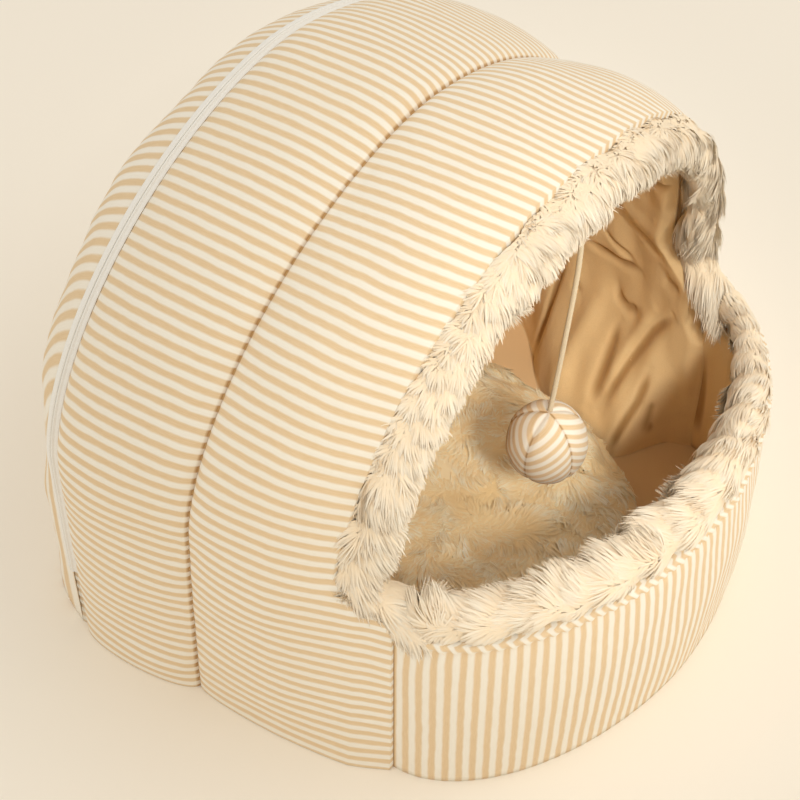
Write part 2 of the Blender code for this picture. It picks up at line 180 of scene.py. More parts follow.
def smooth_step(x):
    """Pass from 0 to 1 without a corner."""
    x = np.clip(x, 0.0, 1.0)
    return x * x * (3 - 2 * x)


def eased(count):
    """Steps from 0 to 1 that crowd towards both ends."""
    return (1 - np.cos(np.pi * np.linspace(0, 1, count))) / 2


def unit(v):
    """The vectors at a length of 1."""
    return v / np.maximum(np.linalg.norm(v, axis=-1, keepdims=True), 1e-12)


def walk(points):
    """Distance along a run of points, at each point."""
    return np.concatenate([[0], np.cumsum(np.linalg.norm(np.diff(points, axis=0), axis=1))])


def curve_through(p0, p1, p2, p3, x):
    """Point at x from 0 to 1 between p1 and p2 on a smooth curve through all four."""
    blend = 2 * p1 + (p2 - p0) * x + (2 * p0 - 5 * p1 + 4 * p2 - p3) * x ** 2
    return (blend + (3 * p1 - p0 - 3 * p2 + p3) * x ** 3) / 2


def on_curve(points, k, x):
    """Points at x from 0 to 1 past point k on a smooth curve through all the points."""
    rows = np.concatenate([[2 * points[0] - points[1]], points, [2 * points[-1] - points[-2]]])
    return curve_through(rows[k], rows[k + 1], rows[k + 2], rows[k + 3], x[..., None])


def roof_row(y):
    """The roof's columns at depth y, on a smooth curve through the rows."""
    ys = ROOF_ROWS[:, 0]
    inside = np.clip(y, ys[-1], ys[0])
    k = np.clip(np.searchsorted(-ys, -inside, side="right") - 1, 0, len(ys) - 2)
    return on_curve(ROOF_ROWS[:, 1:], k, (ys[k] - inside) / (ys[k] - ys[k + 1]))


def arch(u, y, offset=0.0, low=0.0):
    """Points of the roof: u runs from the left foot over the top to the right foot."""
    u, y, offset, low = np.broadcast_arrays(*(np.asarray(v, float) for v in (u, y, offset, low)))
    half, foot, height, shoulder, power = np.moveaxis(roof_row(y), -1, 0)

    def bare(v):
        side = np.where(v < 0.5, -1, 1)
        leg = np.minimum(v, 1 - v) / LEG_SHARE
        leg_z = low + (shoulder - low) * leg
        leg_x = side * (foot + (half - foot) * np.sin(leg_z / shoulder * np.pi / 2))
        angle = np.pi * (v - LEG_SHARE) / (1 - 2 * LEG_SHARE)
        across, rise = np.cos(angle), np.abs(np.sin(angle))
        bow_x = -half * np.sign(across) * np.abs(across) ** (2 / power)
        bow_z = shoulder + (height - shoulder) * rise ** (2 / power)
        return np.where(leg < 1, leg_x, bow_x), np.where(leg < 1, leg_z, bow_z)

    x, z = bare(u)
    near_x, near_z = bare(np.maximum(u - TANGENT_STEP, 0))
    far_x, far_z = bare(np.minimum(u + TANGENT_STEP, 1))
    run_x, run_z = far_x - near_x, far_z - near_z
    length = np.hypot(run_x, run_z)
    x = x - run_z / length * offset
    z = z + run_x / length * offset
    z = np.where((u <= 0) | (u >= 1), low, z)
    return np.stack([x, y, np.maximum(z, low)], -1)


def arch_height(u):
    """Height of the roof at u, along its middle seam."""
    return arch(u, SEAM_ROW_Y)[..., 2]


def rear_y(z):
    """Depth of the roof's rear rim, where the zip runs."""
    return ROOF_ROWS[0, 0] - REAR_LEAN * z


def seam_y(z):
    """Depth of the seam between the two channels."""
    return SEAM_ROW_Y - SEAM_LEAN * z


def front_y(u):
    """Depth of the roof's front rim at u."""
    z = arch(u, FRONT_ROW_Y)[..., 2]
    share = smooth_step((z - LIP_HEIGHT) / CORNER_BLEND)
    rim = RIM_Y - RIM_LEAN * np.maximum(z - RIM_FOOT_Z, 0)
    return CORNER_Y + (rim - CORNER_Y) * share


def even_steps(fine, points, count):
    """Values of fine at even distances along the points, and the distance to each."""
    walked = walk(points)
    at = np.linspace(0, walked[-1], count)
    return np.interp(at, walked, fine), at


def even_run(count):
    """Values of u at even distances along the roof's middle seam."""
    fine = np.linspace(0, 1, 8001)
    return even_steps(fine, arch(fine, SEAM_ROW_Y), count)[0]


def patch(edge, a, b):
    """Points inside the arch that edge(u) draws: a from -1 to 1 across, b from 0 to 1 up."""
    a3, b3 = a[..., None], b[..., None]
    turn = PATCH_TURN
    ones = np.ones_like(a)

    def across(left, right):
        return edge(left) * (1 - a3) / 2 + edge(right) * (1 + a3) / 2

    low = across(0 * ones, ones)
    high = edge(turn + (1 - 2 * turn) * (a + 1) / 2)
    sides = across(turn * b, 1 - turn * b)
    tops = across(turn * ones, (1 - turn) * ones)
    corners = low * (1 - b3) + tops * b3
    return low * (1 - b3) + high * b3 + sides - corners


def dome(columns, rows, inset):
    """Grid of points of the back's dome, inset from its outer face."""
    across = np.sin(np.linspace(-1, 1, columns) * np.pi / 2)
    up = np.sin(np.linspace(0, 1, rows) * np.pi / 2)
    a, b = np.meshgrid(across, up, indexing="ij")
    points = patch(lambda u: arch(u, rear_y(arch_height(u)), -inset), a, b)
    full = np.maximum((1 - np.abs(a) ** BACK_POWERS[0]) * (1 - b ** BACK_POWERS[1]), 0)
    turn = BACK_ROUND[0] + (BACK_ROUND[1] - BACK_ROUND[0]) * np.minimum(b / BACK_ROUND_TOP, 1)
    rise = (BACK_RISE - inset) * (1 - (1 - full) ** turn)
    points[..., 1] = rear_y(points[..., 2]) + GAP / 2 + rise
    return points, a, b


def lip_plan(angle, inset):
    """Points of the front lip in plan, from the left corner round to the right one."""
    across = np.sign(np.cos(angle)) * np.abs(np.cos(angle)) ** (2 / LIP_POWER)
    ahead = np.abs(np.sin(angle)) ** (2 / LIP_POWER)
    y = CORNER_Y - GAP / 2 - (LIP_REACH - inset) * ahead
    return np.stack([-(LIP_HALF - inset) * across, y, 0 * y], -1)


def stripes_at(walked, pitch):
    """Stripe number at each distance, for a pitch that varies along the cloth."""
    fine = np.linspace(0, 1.0, 4001)
    width = np.interp(fine, *pitch)
    passed = np.concatenate([[0], np.cumsum(np.diff(fine) / ((width[1:] + width[:-1]) / 2))])
    return np.interp(walked, fine, passed)


def even_lip(count, low=0.0, high=math.pi):
    """Angles at even distances round the lip, and the distance to each."""
    fine = np.linspace(low, high, 4001)
    return even_steps(fine, lip_plan(fine, 0.0), count)


def waves(points, size, seed, count=10):
    """Smooth random field over the points, about -1 to 1, with lumps of that size in metres."""
    draw = np.random.default_rng(seed)
    total = np.zeros(points.shape[:-1])
    for _ in range(count):
        way = draw.normal(size=3)
        way *= draw.uniform(0.6, 1.4) * 2 * np.pi / size / np.linalg.norm(way)
        total += np.sin(points @ way + draw.uniform(0, 2 * np.pi))
    return total / math.sqrt(count / 2) / 1.6


def normals_of(grid, centre):
    """Unit normals of a grid of points, away from the centre."""
    n = unit(np.cross(np.gradient(grid, axis=0), np.gradient(grid, axis=1)))
    return n * np.sign(((grid - centre) * n).sum(-1, keepdims=True) + 1e-12)


# Mesh helpers

def add_mesh(name, points, faces, finish, slot, attributes=None, replaces=(), normals=None):
    """Make a mesh object of points and faces, and let it ride on the house."""
    mesh = bpy.data.meshes.new(name)
    moved = np.array(points, float).reshape(-1, 3) + (0, SHIFT_Y, 0)
    mesh.from_pydata(moved.tolist(), [], faces)
    mesh.update()
    mesh.shade_smooth()
    for key, values in (attributes or {}).items():
        made = mesh.attributes.new(key, "FLOAT", "POINT")
        made.data.foreach_set("value", np.array(values, np.float32).ravel())
    if normals is not None:
        mesh.normals_split_custom_set_from_vertices(normals.tolist())
    mesh.materials.append(finish)
    made = bpy.data.objects.new(name, mesh)
    bpy.context.scene.collection.objects.link(made)
    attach(made, "root")
    if replaces:
        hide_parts(*replaces)
    return made


def grid_faces(rows, columns, start=0, flip=False, wrap=False):
    """Quads of a grid of points that starts at that index."""
    across = np.arange(columns if wrap else columns - 1)
    i, j = np.meshgrid(np.arange(rows - 1), across, indexing="ij")
    k = (j + 1) % columns
    here, next_row = i * columns, (i + 1) * columns
    quads = np.stack([here + j, here + k, next_row + k, next_row + j], -1)
    quads = quads.reshape(-1, 4) + start
    return (quads[:, ::-1] if flip else quads).tolist()


def closed_roll(rows, columns, flip=False):
    """Faces of a closed roll of loops of points, with flat ends."""
    first, last = list(range(columns)), list(range((rows - 1) * columns, rows * columns))
    ends = [first, last[::-1]] if flip else [first[::-1], last]
    return grid_faces(rows, columns, wrap=True, flip=flip) + ends


def shell(name, outer, inner, finish, slot, attributes, **more):
    """Closed panel of an outer and an inner grid with as many rows; the ends are flat."""
    rows, columns = outer.shape[:2]
    inner_columns = inner.shape[1]
    start = rows * columns
    faces = grid_faces(rows, columns) + grid_faces(rows, inner_columns, start, flip=True)
    outer_rows = [list(range(i * columns, (i + 1) * columns)) for i in range(rows)]
    inner_rows = [list(range(start + i * inner_columns, start + (i + 1) * inner_columns))
                  for i in range(rows)]
    for a, b, c, d in zip(outer_rows, outer_rows[1:], inner_rows, inner_rows[1:]):
        faces.append([a[0], b[0], d[0], c[0]])
        faces.append([b[-1], a[-1], c[-1], d[-1]])
    faces.append(outer_rows[0] + inner_rows[0][::-1])
    faces.append(outer_rows[-1][::-1] + inner_rows[-1])
    points = np.concatenate([outer.reshape(-1, 3), inner.reshape(-1, 3)])
    both = {}
    for key, values in attributes.items():
        ends = values[:, np.linspace(0, columns - 1, inner_columns).astype(int)]
        if key == "seam" and finish == TICKING:
            ends = ends * 0 - 0.01      # painted shade: the unseen sides show plain brown
        both[key] = np.concatenate([values.ravel(), ends.ravel()])
    return add_mesh(name, points, faces, finish, slot, both, **more)


# Materials

class Paint:
    """A node material in the making, with short ways to add and join nodes."""

    def __init__(self, name, roughness=0.9, sheen=0.0):
        self.material = bpy.data.materials.new(name)
        self.material.use_nodes = True
        self.tree = self.material.node_tree
        self.shader = self.tree.nodes["Principled BSDF"]
        constants = {"Roughness": roughness, "Metallic": 0, "Specular IOR Level": 0.15,
                     "Sheen Weight": sheen, "Sheen Roughness": 0.6}
        for key, value in constants.items():
            self.shader.inputs[key].default_value = value

    def join(self, value, socket):
        """Give the socket a link or a constant."""
        if isinstance(value, bpy.types.NodeSocket):
            self.tree.links.new(value, socket)
        elif hasattr(value, "__len__") and len(value) == 3 and socket.type == "RGBA":
            socket.default_value = (*value, 1)
        else:
            socket.default_value = value

    def node(self, kind, inputs, output=0, **settings):
        """Add a node with these settings and inputs, and give one of its outputs."""
        made = self.tree.nodes.new("ShaderNode" + kind)
        for key, value in settings.items():
            setattr(made, key, value)
        for key, value in inputs.items():
            self.join(value, made.inputs[key])
        return made.outputs[output]

    def value(self, name):
        """A mesh attribute as a number."""
        return self.node("Attribute", {}, "Fac", attribute_name=name)

    def math(self, kind, a, b=0.0):
        return self.node("Math", {0: a, 1: b}, operation=kind)

    def ramp(self, value, low, high, to_low=0.0, to_high=1.0):
        """Pass smoothly from to_low to to_high as the value goes from low to high."""
        given = dict(enumerate((value, low, high, to_low, to_high)))
        return self.node("MapRange", given, interpolation_type="SMOOTHSTEP")

    def place(self, stretch=(1, 1, 1)):
        """The object's own coordinates, stretched."""
        where = self.node("TexCoord", {}, "Object")
        return self.node("VectorMath", {0: where, 1: stretch}, operation="MULTIPLY")

    def noise(self, vector, scale, detail=2.0, rough=0.5):
        given = {"Vector": vector, "Scale": scale, "Detail": detail, "Roughness": rough}
        return self.node("TexNoise", given, "Fac")

    def mix(self, share, a, b):
        """Colour a, or b where the share is 1."""
        return self.node("Mix", {0: share, 6: a, 7: b}, 2, data_type="RGBA")

    def bump(self, height, depth, strength=1.0, under=None):
        given = {"Strength": strength, "Distance": depth, "Height": height}
        if under is not None:
            given["Normal"] = under
        return self.node("Bump", given)

    def finish(self, colour, normal=None, rough=None):
        self.join(colour, self.shader.inputs["Base Color"])
        if normal is not None:
            self.join(normal, self.shader.inputs["Normal"])
        if rough is not None:
            self.join(rough, self.shader.inputs["Roughness"])
        return self.material


CREAM = (0.93, 0.87, 0.75)
TAN = (0.8, 0.59, 0.34)
SEAM_SHADE_BROWN = (0.42, 0.22, 0.07)


def shaded(colour, *factors):
    """The colour with each channel times its factor."""
    return tuple(c * f for c, f in zip(colour, factors))


def ticking():
    """Woven ticking: soft-edged tan stripes on cream, with slubs, a fine weave and painted shade
    in the seams.
    """
    p = Paint("ticking_cloth", 0.92, 0.1)
    stripe, along, seam = p.value("stripe"), p.value("along"), p.value("seam")
    place = p.place()
    wander = p.math("MULTIPLY", p.math("SUBTRACT", p.noise(place, 90), 0.5), 0.14)
    turn = p.math("MULTIPLY", p.math("ADD", stripe, wander), 2 * math.pi)
    tan = p.ramp(p.math("COSINE", turn), -0.62, 0.62)
    threads = p.node("CombineXYZ", {0: p.math("MULTIPLY", stripe, 9.0),
                                    1: p.math("MULTIPLY", along, 90.0)})
    slub = p.noise(threads, 1.6, 3.0, 0.6)
    tan_shade = p.mix(slub, shaded(TAN, 0.9, 0.86, 0.78), shaded(TAN, 1.1, 1.15, 1.28))
    cream_shade = p.mix(slub, shaded(CREAM, 0.95, 0.93, 0.88), (0.97, 0.91, 0.79))
    colour = p.mix(tan, cream_shade, tan_shade)
    colour = p.mix(p.ramp(p.noise(place, 12), 0.35, 0.75, 0.0, 0.1), colour, (0.84, 0.66, 0.42))
    # Painted shade: the seam grooves turn brown, more on the tan stripes, where the groove lies in
    # shade.
    groove = p.ramp(seam, 0.0002, 0.0016, 1.0, 0.0)
    shade = p.math("MULTIPLY", groove, p.ramp(tan, 0.0, 1.0, 0.3, 0.9))
    colour = p.mix(shade, colour, SEAM_SHADE_BROWN)
    # Painted shade: the inner and end faces, whose seam value is below zero, show plain brown like
    # a shaded pocket.
    colour = p.mix(p.ramp(seam, -0.0006, -0.0002, 1.0, 0.0), colour, (0.45, 0.26, 0.1))
    warp = p.math("SINE", p.math("MULTIPLY", stripe, 2 * math.pi * 11))
    weft = p.math("SINE", p.math("MULTIPLY", along, 2 * math.pi / 0.0009))
    bump = p.bump(p.math("MULTIPLY", warp, weft), 0.00005, 0.7)
    bump = p.bump(p.noise(place, 900), 0.00012, 0.6, bump)
    bump = p.bump(p.noise(place, 60, 3.0), 0.0012, 0.35, bump)
    return p.finish(colour, bump)


def plush(name, root, tip, lit):
    """Fur: a little darker at the roots, and paler or warmer from strand to strand."""
    p = Paint(name, 0.95, 0.1)
    tone, run = p.value("tone"), p.value("run")
    strand = p.mix(tone, tip, lit)
    colour = p.mix(p.ramp(run, 0.0, 0.7), root, strand)
    grain = p.noise(p.place(), 260)
    colour = p.mix(p.ramp(grain, 0.45, 0.8, 0.0, 0.15), colour, root)
    return p.finish(colour, p.bump(p.noise(p.place(), 1400), 0.0001, 0.25))


def lining_cloth():
    """Thin smooth tan cloth with a low sheen and small puckers, and painted shade in its creases
    and seams.
    """
    p = Paint("lining_cloth", 0.62, 0.1)
    place = p.place()
    cloud = p.noise(place, 14, 3.0)
    colour = p.mix(cloud, (0.9, 0.62, 0.3), (0.98, 0.72, 0.38))
    fine = p.noise(place, 1300)
    colour = p.mix(p.ramp(fine, 0.4, 0.7, 0.0, 0.1), colour, (0.55, 0.32, 0.12))
    # Painted shade: the creases turn dark brown by their depth, carried in "fold".
    colour = p.mix(p.ramp(p.value("fold"), 0.0004, 0.0032, 0.0, 0.8), colour, (0.42, 0.21, 0.06))
    # Painted shade: a dark brown line along the lining's seam crease.
    groove = p.ramp(p.value("seam"), 0.0003, 0.0018, 0.75, 0.0)
    colour = p.mix(groove, colour, (0.34, 0.17, 0.05))
    bump = p.bump(fine, 0.00008, 0.6)
    bump = p.bump(p.noise(place, 95, 3.0), 0.0012, 0.45, bump)
    return p.finish(colour, bump, p.ramp(cloud, 0.3, 0.7, 0.55, 0.72))


def tape_cloth():
    """Pale grey-white zip tape with a fine herringbone."""
    p = Paint("tape_cloth", 0.7, 0.1)
    fine = p.noise(p.place(), 1500)
    colour = p.mix(fine, (0.84, 0.8, 0.71), (0.97, 0.94, 0.87))
    return p.finish(colour, p.bump(fine, 0.0002, 0.6))


def thread(name, colour):
    """Spun thread with fine strands."""
    p = Paint(name, 0.85, 0.1)
    fine = p.noise(p.place((1, 1, 0.35)), 2200)
    dark = shaded(colour, 0.75, 0.72, 0.68)
    return p.finish(p.mix(fine, dark, colour), p.bump(fine, 0.0002, 0.7))


TICKING = ticking()
ARCH_FUR = plush("arch_fur", (0.93, 0.76, 0.53), (0.89, 0.755, 0.565), (0.89, 0.8, 0.64))
CUSHION_FUR = plush("cushion_fur", (0.93, 0.72, 0.39), (0.99, 0.9, 0.64), (0.99, 0.96, 0.79))
LINING_CLOTH = lining_cloth()
TAPE = tape_cloth()
CORD_THREAD = thread("cord_thread", (0.9, 0.76, 0.52))
STITCH = thread("stitch_thread", (0.62, 0.38, 0.15))


# Cord

def smooth_route(points, count):
    """Even run of points on a smooth curve through the route's own points."""
    s = np.linspace(0, len(points) - 1, count)
    k = np.minimum(s.astype(int), len(points) - 2)
    return on_curve(points, k, s - k)


def make_cord():
    """Two-ply twisted cord from the ball up to the roof."""
    route = smooth_route(CORD_ROUTE, 220)
    way = unit(np.gradient(route, axis=0))
    side = unit(np.cross(way, (1.0, 0.0, 0.0)))
    other = np.cross(way, side)
    angle = np.linspace(0, 2 * np.pi, 14, endpoint=False)
    twist = walk(route)[:, None] / 0.0062 * 2 * np.pi
    lobes = CORD_RADIUS * (0.9 + 0.16 * np.abs(np.cos(angle[None, :] - twist)))
    rings = (route[:, None] + side[:, None] * (np.cos(angle) * lobes)[..., None]
             + other[:, None] * (np.sin(angle) * lobes)[..., None])
    faces = closed_roll(*rings.shape[:2])
    made = add_mesh("hanging_cord", rings, faces, CORD_THREAD, "cord", replaces=["ball_cord"])


make_cord()


# Shell

def puff(s, rise, rim_share=0.0):
    """Rise of a padded channel at s from 0 to 1 across it."""
    bow = np.sqrt(np.maximum(4 * s * (1 - s), 0)) ** 0.95
    if rim_share:
        bow = np.where(s < 0.5, bow, 1 - (1 - rim_share) * (2 * s - 1) ** 2)
    return rise * bow


def cover(name, outer, inner, values, node):
    """Padded wall of ticking in place of a node."""
    made = shell(name, outer, inner, TICKING, "ticking", values, replaces=[node])


def make_roof():
    """Roof and side walls with two padded channels, ribbed stripes and puckers at the seams."""
    u = even_run(560)
    z = arch_height(u)
    rear, seam, front = rear_y(z) - GAP / 2, seam_y(z), front_y(u) + GAP / 2
    ledge = rear - ZIP_LEDGE
    s_rear, s_front = eased(31), eased(31)[1:]
    y = np.concatenate([rear[:, None], ledge[:, None] + (seam - ledge)[:, None] * s_rear,
                        seam[:, None] + (front - seam)[:, None] * s_front], 1)
    rise = np.concatenate([[0.0], puff(s_rear, REAR_PUFF), puff(s_front, FRONT_PUFF, RIM_PUFF)])
    rise = np.broadcast_to(rise, y.shape)
    uu = np.broadcast_to(u[:, None], y.shape)
    flat = arch(uu, y)
    off_seam = np.abs(y - seam[:, None])
    off_ledge = np.abs(y - ledge[:, None]) + np.where(y > ledge[:, None], 0.004, 0)
    near = np.minimum(off_seam, off_ledge)
    steps = np.linalg.norm(np.diff(flat[..., ::2], axis=0), axis=-1)
    stripe = stripes_at(np.concatenate([0 * y[:1], np.cumsum(steps, axis=0)]), ROOF_PITCH)
    inside = smooth_step(near / 0.006)
    pucker = np.exp(-((near - 0.005) / 0.004) ** 2)
    extra = (0.0009 * waves(flat, 0.085, 11) + 0.0003 * waves(flat, 0.03, 12)) * inside
    extra = extra + 0.0003 * pucker * waves(flat * (1, 0.2, 1), 0.014, 13)
    extra = extra - RIB * np.cos(2 * np.pi * stripe) * inside
    edge = smooth_step(np.minimum(u, 1 - u) / 0.02)[:, None]
    outer = arch(uu, y, rise + extra * edge)
    inner = arch(u[:, None], np.stack([rear, ledge, seam, (seam + front) / 2, front], 1), -WALL)
    # Painted shade: "seam" darkens the ticking along the middle seam's groove and the groove in
    # front of the zip.
    seam_near = np.minimum(off_seam, np.where(y <= ledge[:, None] + 1e-6, off_ledge, 1.0))
    values = {"stripe": stripe, "along": y, "seam": seam_near}
    cover("roof_cover", outer, inner, values, "roof_panel")


def make_seam_stitches():
    """Brown thread over the groove between the two channels, one stitch to each tan stripe."""
    fine = even_run(2000)
    walked = walk(arch(fine, seam_y(arch_height(fine)))[:, ::2])
    points, faces = [], []
    around = np.linspace(0, 2 * np.pi, 8, endpoint=False)
    along = np.linspace(-1, 1, 9)
    passed = stripes_at(walked, ROOF_PITCH)
    for k in range(1, int(passed[-1])):
        at = np.interp(np.interp(k, passed, walked) + along * 0.0022, walked, fine)
        y = seam_y(arch_height(at))
        full = np.sqrt(np.maximum(1 - (along * 0.98) ** 4, 0))
        y = y[:, None] + 0.0005 * full[:, None] * np.cos(around)
        lift = 0.001 + 0.0004 * full[:, None] * np.sin(around) - 0.0009 * (along ** 4)[:, None]
        rings = arch(at[:, None], y, lift)
        start = len(points) * rings.shape[0] * rings.shape[1]
        faces += [[start + v for v in face] for face in closed_roll(*rings.shape[:2], flip=True)]
        points.append(rings)
    add_mesh("seam_stitches", np.array(points), faces, STITCH, "ticking")


def make_back():
    """Domed back with upright stripes."""
    outer, a, b = dome(130, 80, 0.0)
    inner = dome(130, 12, WALL)[0]
    side = np.minimum(1 - np.abs(a), 1 - b)
    stripe = outer[..., 0] / BACK_PITCH + 0.25
    inside = smooth_step(side / 0.1)
    n = normals_of(outer, DOME_MIDDLE)
    extra = 0.0013 * waves(outer, 0.085, 21) + 0.0005 * waves(outer, 0.03, 22)
    extra = (extra - RIB * np.cos(2 * np.pi * stripe)) * inside * smooth_step(outer[..., 2] / 0.01)
    outer = outer + n * extra[..., None]
    values = {"stripe": stripe, "along": outer[..., 2], "seam": 0 * side + 1.0}
    cover("back_cover", outer, inner, values, "back_panel")


def make_lip():
    """Low front wall with upright stripes, and a corded hem along its top under the plush."""
    angle, walked = even_lip(320)
    hem_z, hem_r = LIP_HEIGHT - 0.0036, 0.0032
    z = np.concatenate([np.linspace(0, 0.12, 26), np.linspace(0.12, LIP_HEIGHT, 20)[1:]])
    s = z / LIP_HEIGHT
    grown = LIP_PUFF * np.sin(np.pi * s)[None, :] * np.sin(angle)[:, None]
    hem = np.sqrt(np.maximum(1 - ((z - hem_z) / hem_r) ** 2, 0))
    stripe = stripes_at(walked, LIP_PITCH)[:, None] + 0 * s[None, :]
    flat = lip_plan(angle[:, None], 0 * s)
    flat[..., 2] = z
    ends = smooth_step(np.sin(angle) / 0.06)[:, None]
    body = smooth_step(s / 0.08)[None, :]
    extra = 0.0008 * waves(flat, 0.07, 31) + 0.0003 * waves(flat, 0.025, 32)
    gather = np.exp(-((z - hem_z + 0.006) / 0.004) ** 2)[None, :]
    extra = extra - (RIB + 0.0005 * gather) * np.cos(2 * np.pi * stripe) - 0.001 * gather
    extra = (extra * body + 0.003 * hem * (1 - 0.16 * np.cos(2 * np.pi * stripe))) * ends
    outer = lip_plan(angle[:, None], -(grown + extra))
    outer[..., 2] = z
    inner = lip_plan(angle[:, None] + np.zeros(4), WALL)
    inner[..., 2] = np.linspace(0, LIP_HEIGHT, 4)
    slant = 0.45 * np.clip((z - hem_z) / hem_r, -1, 1) * (hem > 0)
    # Painted shade: "seam" darkens the ticking at the corners and in the groove under the hem.
    corner = np.minimum(walked, walked[-1] - walked)[:, None] + 0 * s
    groove = np.abs(z - (hem_z - hem_r)) * 0.8 + 0.0004
    seam = np.minimum(np.maximum(corner, 0.0004), groove)
    values = {"stripe": stripe + slant, "along": outer[..., 2], "seam": seam}
    cover("lip_cover", outer, inner, values, "front_lip")


def tape(name, near, far, node):
    """One tape of the closed zip: a rolled edge along the joint, then flat cloth."""
    u = even_run(330)
    u = u[(u >= ZIP_FREE) & (u <= 1 - ZIP_FREE)]
    y = rear_y(arch_height(u))
    run = np.linspace(0, 1, 11)
    from_joint = run if near > 0 else 1 - run
    roll_share = 0.36
    roll = np.sqrt(np.maximum(1 - (from_joint / roll_share * 2 - 1) ** 2, 0))
    roll = roll * (from_joint < roll_share)
    lift = ZIP_THICK * (0.42 + 0.75 * roll - 0.22 * from_joint ** 3)
    depth = near + (far - near) * run
    drop = ZIP_DROP * np.maximum(depth, 0)
    outer = arch(u[:, None], y[:, None] + depth, GAP + lift - drop)
    inner = arch(u[:, None], y[:, None] + depth[::5], GAP * 0.5 - drop[::5])
    shell(name, outer, inner, TAPE, "zip_tape", {}, replaces=[node])


make_roof()
make_seam_stitches()
make_back()
make_lip()
tape("zip_front", -ZIP_TAPE - GAP / 2, -GAP / 2, "zip_tape_front")
tape("zip_rear", GAP / 2, ZIP_TAPE + GAP / 2, "zip_tape_rear")


# Linings

def line_distance(x, y, path):
    """Distance of each point from a path in the plane of x and y, and how far along it is."""
    path = np.array(path)
    lengths = np.linalg.norm(np.diff(path, axis=0), axis=1)
    best, share = np.full(x.shape, 1e9), np.zeros(x.shape)
    walked = 0.0
    for a, b, length in zip(path[:-1], path[1:], lengths):
        run = b - a
        t = np.clip(((x - a[0]) * run[0] + (y - a[1]) * run[1]) / length ** 2, 0, 1)
        away = np.hypot(x - a[0] - t * run[0], y - a[1] - t * run[1])
        share = np.where(away < best, (walked + t * length) / lengths.sum(), share)
        best = np.minimum(best, away)
        walked += length
    return best, share


def crease(x, y, path, width, depth):
    """Soft trough or ridge along a path in the plane of x and y."""
    away, share = line_distance(x, y, path)
    ease = smooth_step(share / 0.25) * smooth_step((1 - share) / 0.25)
    return depth * np.exp(-(away / width) ** 2) * (0.25 + 0.75 * ease)


# Creases of the roof's lining: u and depth y along each, then its width and depth in metres.
ROOF_CREASES = (
    (((0.758, -0.058), (0.75, -0.073), (0.743, -0.087), (0.731, -0.102)), 0.003, -0.0022),
    (((0.873, -0.023), (0.868, -0.038), (0.862, -0.054), (0.85, -0.07)), 0.0028, -0.003),
    (((0.846, -0.035), (0.849, -0.046), (0.849, -0.063)), 0.0025, -0.002),
    (((0.819, -0.05), (0.815, -0.066), (0.814, -0.08), (0.812, -0.089)), 0.0026, -0.002),
    (((0.824, -0.091), (0.824, -0.098), (0.822, -0.106)), 0.0026, -0.0022),
    (((0.895, -0.008), (0.924, -0.008), (0.96, -0.007), (0.998, -0.003)), 0.0026, -0.0042),
    (((0.883, -0.055), (0.891, -0.059), (0.89, -0.067), (0.881, -0.077)), 0.0035, -0.0028),
    (((0.902, -0.066), (0.934, -0.067), (0.975, -0.068)), 0.0042, -0.003),
    (((0.843, -0.105), (0.881, -0.092), (0.922, -0.083), (0.971, -0.075)), 0.0034, -0.0034),
    (((0.91, -0.023), (0.915, -0.03)), 0.0028, -0.0016),
    (((0.905, -0.1), (0.939, -0.099), (0.973, -0.094), (0.999, -0.09)), 0.003, -0.0034),
    (((0.934, -0.106), (0.962, -0.106), (0.981, -0.109)), 0.0024, -0.0026),
    (((0.86, -0.088), (0.905, -0.078), (0.95, -0.074)), 0.0036, 0.0022),
    (((0.9, -0.045), (0.94, -0.04), (0.985, -0.04)), 0.006, 0.0026),
    (((0.78, -0.03), (0.8, -0.06), (0.8, -0.09)), 0.007, 0.002),
)
ROOF_LINING_SEAM = ((0.7, -0.1075), (0.715, -0.1069), (0.746, -0.1049), (0.768, -0.1056),
                    (0.788, -0.1083), (0.802, -0.112))


def roof_folds(points, u, y):
    """How far the folds of the roof's lining stand in from the wall, and the creases alone.

    The left side, which the photo hides, has the right side's creases mirrored and weaker.
    """
    walked = u * RUN_LENGTH
    creases = 0 * walked
    for path, width, depth in ROOF_CREASES:
        scaled = [(a * RUN_LENGTH, b) for a, b in path]
        creases = creases + crease(walked, y, scaled, width, depth)
        mirrored = [((1 - a) * RUN_LENGTH, b * 0.9 + 0.006) for a, b in path]
        creases = creases + crease(walked, y, mirrored, width, depth) * 0.4
    soft = 0.0012 * waves(points, 0.06, 41) + 0.0008 * waves(points * (1, 1, 0.5), 0.022, 42)
    return 1.5 * creases + soft, creases


def roof_sag(points, u):
    """How far the right side of the roof's lining stands in from the wall."""
    y, z = points[..., 1], points[..., 2]
    rear = smooth_step((SAG_REAR[0] - y) / SAG_REAR[1])
    front = smooth_step((y - SAG_FRONT[0]) / SAG_FRONT[1])
    return np.where(u < 0.5, 0.0, SAG * rear * front * smooth_step(1 - z / SAG_TOP))


def lining_sheet(name, faces_at, finish_values, node, hidden_step=1):
    """Thin closed sheet: faces_at(inset) gives the grid at each of its two faces."""
    shown, hidden = faces_at(WALL + GAP + LINING), faces_at(WALL - TUCK)
    columns = hidden.shape[1]
    hidden = hidden[:, np.linspace(0, columns - 1, columns // hidden_step).astype(int)]
    made = shell(name, shown, hidden, LINING_CLOTH, "lining", finish_values, replaces=[node])


